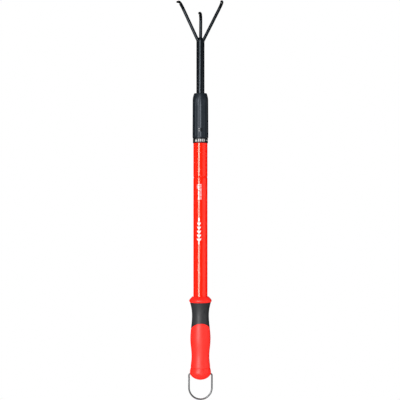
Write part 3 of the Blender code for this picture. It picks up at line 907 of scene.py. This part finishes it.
def raised_pad(name, place, facing, height, half_wide, half_high, proud, surface):
    """A small pad with a flat face and rounded edges, which stands out of the nut."""
    place, facing = math.radians(place), math.radians(facing)
    seat = Vector((PAD_SEAT_R * math.sin(place), -PAD_SEAT_R * math.cos(place), height))
    out = Vector((math.sin(facing), -math.cos(facing), 0))
    across = Vector((math.cos(facing), math.sin(facing), 0))
    edge = ((proud + PAD_ROOT, 0.0), (0.25, 0.0), (0.12, 0.04), (0.03, 0.13), (0.0, 0.25))
    rings = []
    for sink, inset in edge:
        ring = []
        for i in range(40):
            turn = 2 * math.pi * i / 40
            aside, above = math.cos(turn), math.sin(turn)
            wide = (half_wide - inset) * math.copysign(abs(aside) ** 0.45, aside)
            tall = (half_high - inset) * math.copysign(abs(above) ** 0.45, above)
            ring.append(seat + out * (proud - sink) + across * wide + Vector((0, 0, tall)))
        rings.append(ring)
    under, face = seat - out * PAD_ROOT, seat + out * proud
    pad = stacked(name, [[under], *rings, [face]], surface, sharp=30)
    attach(pad, "nut", "nut_nylon")


# ---------------------------------------------------------------- head

ROD_R = 2.5
ROD_DEPTH = 40.0
ROD_BENDS = (10.0, 12.0, 60.0)
BUNDLE = (2 * ROD_R + 0.2) / math.sqrt(3)
HEAD_TURN = math.radians(-4.5)
CLAW_REACH = 43.0
CLAW_DROOPS = (2.5, 8.5)
CLAW_TIP_R = 1.1
CLAW_TAPER = 26.0
# Each rod's place round the bundle and its claw's yaw, in degrees, the height where it leans out
# of the bundle, and where its claw turns, to the side and up.
RODS = {
    "tine_left": (210.0, -3.0, 473.7, (-31.4, 536.3)),
    "tine_centre": (90.0, 0.4, 474.0, (0.4, 518.8)),
    "tine_right": (330.0, 2.2, 472.6, (34.8, 536.0)),
}


def head_point(x, y, z):
    """A point given beside the head, turned as the head stands on the tool."""
    return Matrix.Rotation(HEAD_TURN, 3, "Z") @ Vector((x, y, z))


def rod_corners(name):
    """The corners of a rod's path, from its foot inside the tube to the claw's point."""
    bundle_turn, yaw, lean_height, (side, height) = RODS[name]
    turn = math.radians(bundle_turn)
    foot = Vector((BUNDLE * math.cos(turn), BUNDLE * math.sin(turn), MOUTH - ROD_DEPTH))
    corners = [foot, Vector((foot.x, foot.y, lean_height)), Vector((side, foot.y, height))]
    swing = math.radians(yaw)
    for droop in CLAW_DROOPS:
        fall = math.radians(droop)
        ahead = math.cos(fall)
        way = Vector((math.sin(swing) * ahead, -math.cos(swing) * ahead, -math.sin(fall)))
        corners.append(corners[-1] + way * CLAW_REACH / len(CLAW_DROOPS))
    return [head_point(*corner) for corner in corners]


def tine(name):
    """A rod of the head, hooked forward and drawn down to a blunt point."""
    path = divided(rounded_path(rod_corners(name), ROD_BENDS), 2.0)
    left = sum((b - a).length for a, b in zip(path, path[1:]))
    radii = []
    for i, point in enumerate(path):
        if i:
            left -= (point - path[i - 1]).length
        share = min(1.0, max(0.0, left) / CLAW_TAPER)
        radii.append(CLAW_TIP_R + (ROD_R - CLAW_TIP_R) * math.sin(share * math.pi / 2))
    # The dome on the last ring makes up the length that this takes off.
    path[-1] = path[-1].lerp(path[-2], 0.5)
    piece = swept(name.replace("tine", "claw"), path, radii, ROD_ENAMEL, sides=32)
    attach(piece, "head", "black_paint", name)


def sliding_tube():
    """The black tube, notched at its mouth for the two side rods and cross-drilled at its tail."""
    bore = SLIDER_R - SLIDER_WALL
    corners = [
        (SLIDER_R, MOUTH, 0.3),
        (SLIDER_R, SLIDER_BOTTOM, 0.2),
        (bore, SLIDER_BOTTOM, 0.2),
        (bore, MOUTH, 0.3),
    ]
    tube = turned("sliding_tube", eased(corners), BLACK_ENAMEL, steps=72)
    cutters = []
    for name in ("tine_left", "tine_right"):
        corner, claw = rod_corners(name)[1:3]
        way = (claw - corner).normalized()
        cutters.append(rod_between("notch", corner, corner + way * 14, ROD_R + 0.3))
    along = head_point(7, 0, 0)
    height = Vector((0, 0, TAIL_PIN_HEIGHT))
    cutters.append(rod_between("pin_hole", height - along, height + along, 1.5))
    cut(tube, cutters)
    attach(tube, "head", "black_paint", "inner_tube")


def mouth_weld():
    """The painted bead of weld round the tube's mouth."""
    steps, ripples = 72, 20
    radius = SLIDER_R - 1.0
    path = []
    radii = []
    for i in range(steps):
        turn = 2 * math.pi * i / steps
        rise = 0.16 * math.sin(ripples * turn) + 0.1 * math.sin(7 * turn)
        path.append((radius * math.cos(turn), radius * math.sin(turn), MOUTH - 0.15 + rise))
        radii.append(1.05 + 0.12 * math.sin(ripples * turn))
    bead = swept("mouth_weld", path, radii, BLACK_ENAMEL, sides=16, rough=0.25, closed=True)
    attach(bead, "head", "black_paint")


def weld_heap():
    """The painted heap of weld that fills the tube's mouth between the rods."""
    outline = [(0, -4.5), (5.5, -4.5), (5.55, -1.6), (5.2, 0.4), (4.9, 2.2), (4.3, 3.7)]
    outline += [(3.4, 4.9), (2.0, 5.7), (0, 6.0)]
    rings = []
    for radius, rise in outline:
        height = MOUTH + rise
        ring = []
        for i in range(48 if radius else 1):
            turn = 2 * math.pi * i / 48
            x, y = radius * math.cos(turn), radius * math.sin(turn)
            lump = noise.noise(Vector((x, y, height)) * 0.45)
            reach = 1 + (0.1 * lump if rise > -2 else 0)
            ring.append((x * reach, y * reach + 0.4, height + 0.3 * lump))
        rings.append(ring)
    attach(stacked("mouth_weld_heap", rings, BLACK_ENAMEL, sharp=60), "head", "black_paint")


# ---------------------------------------------------------------- prints on the tube

SPRIG_TURN = -12.0
SPRIG_HEIGHT = 151.0
SPRIG_TOP = 37.0
LINES_HEIGHT = 222.5
PAINT_LIFT = 0.005


def leaf(x, y, length, width, turn):
    """A pointed leaf's outline from its stem end."""
    points = []
    for t in spread(0, 1, 9):
        points.append((length * t, width / 2 * math.sin(math.pi * t**0.8)))
    for t in spread(1, 0, 9)[1:-1]:
        points.append((length * t, -width / 2 * math.sin(math.pi * t**0.8)))
    cos, sin = math.cos(math.radians(turn)), math.sin(math.radians(turn))
    return [(x + cos * a - sin * b, y + sin * a + cos * b) for a, b in points]


def sprig():
    """A plain fern sprig with leaves in pairs, printed up the tube."""
    stem = [(-0.55, 0), (0.55, 0), (0.3, SPRIG_TOP), (-0.3, SPRIG_TOP)]
    shapes = [stem, leaf(0, SPRIG_TOP - 0.5, 6.5, 2.6, 90)]
    for y in spread(5.0, SPRIG_TOP - 6.0, 5):
        length = 6.4 - 0.05 * y
        for side in (-1, 1):
            shapes.append(leaf(0, y, length, 1.9, 90 - side * 38))
    for number, shape in enumerate(shapes, 1):
        # Each shape is a little thicker than the last, so that none lies in another's face.
        mesh = drawn([shape], 0.05 + 0.004 * number)
        print_r = TUBE_R + PAINT_LIFT
        piece = wrapped(f"sprig_{number:02d}", mesh, print_r, SPRIG_TURN, SPRIG_HEIGHT, WHITE_INK)
        attach(piece, "handle", "red_paint")


def care_lines():
    """Three lines of plain dashes, printed up the tube above the sprig."""
    columns = (
        # place round the tube, first dash's height, dashes, width, ink
        (-25.5, 17.4, 3, 1.6, WORN_INK),
        (-14.0, 0.0, 10, 2.0, WHITE_INK),
        (3.0, 0.0, 10, 2.2, WORN_INK),
    )
    number = 0
    for turn, first, dashes, wide, shade in columns:
        half = wide / 2
        for i in range(dashes):
            number += 1
            low = first + i * 2.5
            high = low + (1.8 if (number * 7) % 3 else 1.2)
            dash = drawn([[(-half, low), (half, low), (half, high), (-half, high)]])
            name = f"dash_{number:02d}"
            piece = wrapped(name, dash, TUBE_R + PAINT_LIFT, turn, LINES_HEIGHT, shade)
            attach(piece, "handle", "red_paint")


# ---------------------------------------------------------------- studio

# Metres, in the frame's own axes.
MIDDLE = (0, 0, 0.2216)
CAMERA_SIDE = -0.0007
CAMERA_DISTANCE = 2.1
# The lens and its sensor's width, in millimetres.
CAMERA_LENS = 118.1
SENSOR_WIDTH = 36
FLOOR_HALF = 1.5
FLOOR_HEIGHT = -0.75


def around(azimuth, distance):
    """A place beside the tool's middle; azimuth 0 is in front and grows to the right."""
    turn = math.radians(azimuth)
    return (distance * math.sin(turn), -distance * math.cos(turn), MIDDLE[2])


# Each panel's place, width and height in metres, and power in watts. All face the tool's middle.
PANELS = {
    "key_strip": (around(-26, 3.0), 1.35, 1.4, 80),
    "fill_panel": (around(62, 2.4), 2.6, 1.2, 8.5),
    "side_panel": (around(-80, 2.4), 0.9, 1.2, 1.0),
    "upper_panel": ((-0.6, -2.6, 1.4), 1.3, 1.1, 26),
    "lower_panel": ((0.1, -2.2, -0.56), 1.3, 0.6, 9),
    "back_strip": (around(180, 2.6), 0.3, 1.4, 5),
}


def panel_lights():
    """Soft rectangular lights, which the camera doesn't see."""
    for name, (place, wide, tall, power) in PANELS.items():
        lamp = bpy.data.lights.new(name, "AREA")
        lamp.shape = "RECTANGLE"
        lamp.size = wide
        lamp.size_y = tall
        lamp.energy = power
        light = bpy.data.objects.new(name, lamp)
        light.location = place
        towards = Vector(MIDDLE) - Vector(place)
        light.rotation_euler = towards.to_track_quat("-Z", "Y").to_euler()
        light.visible_camera = False
        bpy.context.scene.collection.objects.link(light)


def surroundings():
    """The world: white behind the tool, soft daylight on it and little of it in its gloss."""
    world = bpy.data.worlds.new("studio")
    world.use_nodes = True
    tree = world.node_tree
    tree.nodes.clear()

    def glow(colour, strength):
        made = tree.nodes.new("ShaderNodeBackground")
        made.inputs["Color"].default_value = (*colour, 1)
        made.inputs["Strength"].default_value = strength
        return made.outputs["Background"]

    def choose(when, otherwise, then):
        made = tree.nodes.new("ShaderNodeMixShader")
        tree.links.new(when, made.inputs[0])
        tree.links.new(otherwise, made.inputs[1])
        tree.links.new(then, made.inputs[2])
        return made.outputs["Shader"]

    daylight = (0.97, 0.985, 1)
    path = tree.nodes.new("ShaderNodeLightPath")
    lit = choose(path.outputs["Is Glossy Ray"], glow(daylight, 0.75), glow(daylight, 0.015))
    seen = choose(path.outputs["Is Camera Ray"], lit, glow((1, 1, 1), 1.0))
    output = tree.nodes.new("ShaderNodeOutputWorld")
    tree.links.new(seen, output.inputs["Surface"])
    bpy.context.scene.world = world
    bpy.context.scene.view_settings.view_transform = "Standard"
    bpy.context.scene.view_settings.look = "None"


def floor():
    """A pale floor well below the tool, which its gloss doesn't show."""
    mesh = bpy.data.meshes.new("floor")
    corners = [(-1, -1), (1, -1), (1, 1), (-1, 1)]
    points = [(x * FLOOR_HALF, y * FLOOR_HALF, FLOOR_HEIGHT) for x, y in corners]
    mesh.from_pydata(points, [], [(0, 1, 2, 3)])
    ground = new_object("floor", mesh, pale_floor())
    ground.visible_glossy = False


def front_camera():
    """A long lens straight in front of the tool's middle."""
    lens = bpy.data.cameras.new("camera")
    lens.sensor_width = SENSOR_WIDTH
    lens.lens = CAMERA_LENS
    lens.clip_start = 0.05
    lens.clip_end = 100
    camera = bpy.data.objects.new("camera", lens)
    camera.location = (CAMERA_SIDE, -CAMERA_DISTANCE, MIDDLE[2])
    camera.rotation_euler = (math.radians(90), 0, 0)
    bpy.context.scene.collection.objects.link(camera)
    bpy.context.scene.camera = camera


for node_name, node_finish in NODE_FINISHES.items():
    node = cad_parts[node_name]
    node.data.materials.clear()
    node.data.materials.append(node_finish)

outer_tube()
marking_band()
grip()
hanging_loop()
lock_nut()
for rod_name in RODS:
    tine(rod_name)
sliding_tube()
mouth_weld()
weld_heap()
sprig()
care_lines()
panel_lights()
surroundings()
floor()
front_camera()
